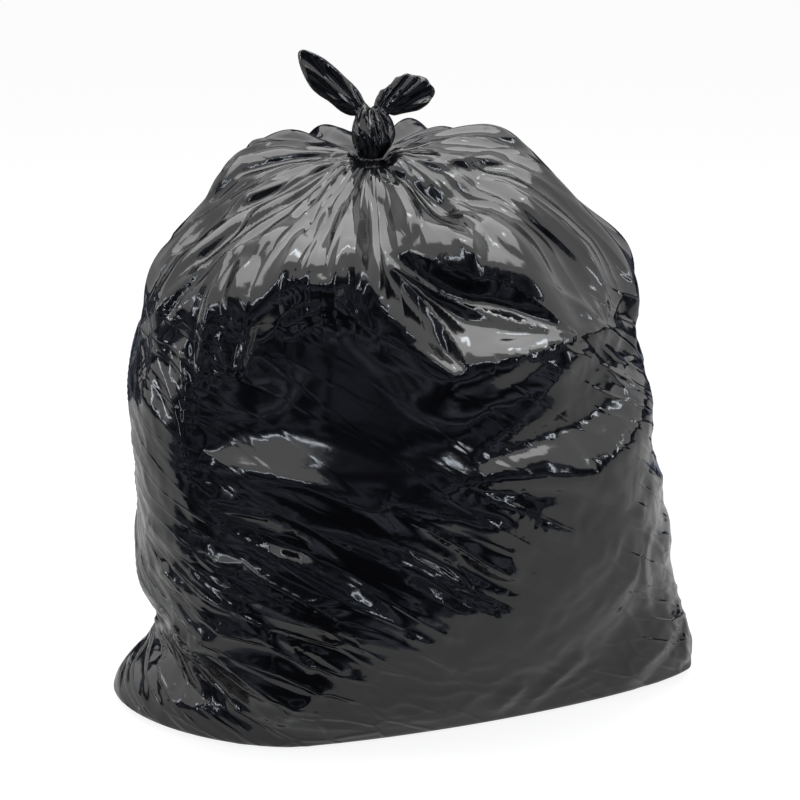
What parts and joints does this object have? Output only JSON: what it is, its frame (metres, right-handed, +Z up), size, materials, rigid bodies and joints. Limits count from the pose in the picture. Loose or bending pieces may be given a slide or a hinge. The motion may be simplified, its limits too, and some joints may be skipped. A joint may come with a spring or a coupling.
{
  "type": "filled and tied bin bag",
  "caption": "Full plastic refuse sack with a flat underside, its film gathered at the top into a knot tied in the film itself, with loose ends of film above it.",
  "frame": {"origin": "on the floor, under the middle of the bag's bounding box", "axes": "+Z up, X along the bag's wide way from bottom corner to bottom corner, and the side that the picture shows faces -Y"},
  "size_m": [0.5606, 0.4106, 0.6152],
  "materials": {
    "film": "glossy thin black polythene film, creased"
  },
  "bodies": {
    "root": {"bag": "film"}
  },
  "joints": []
}
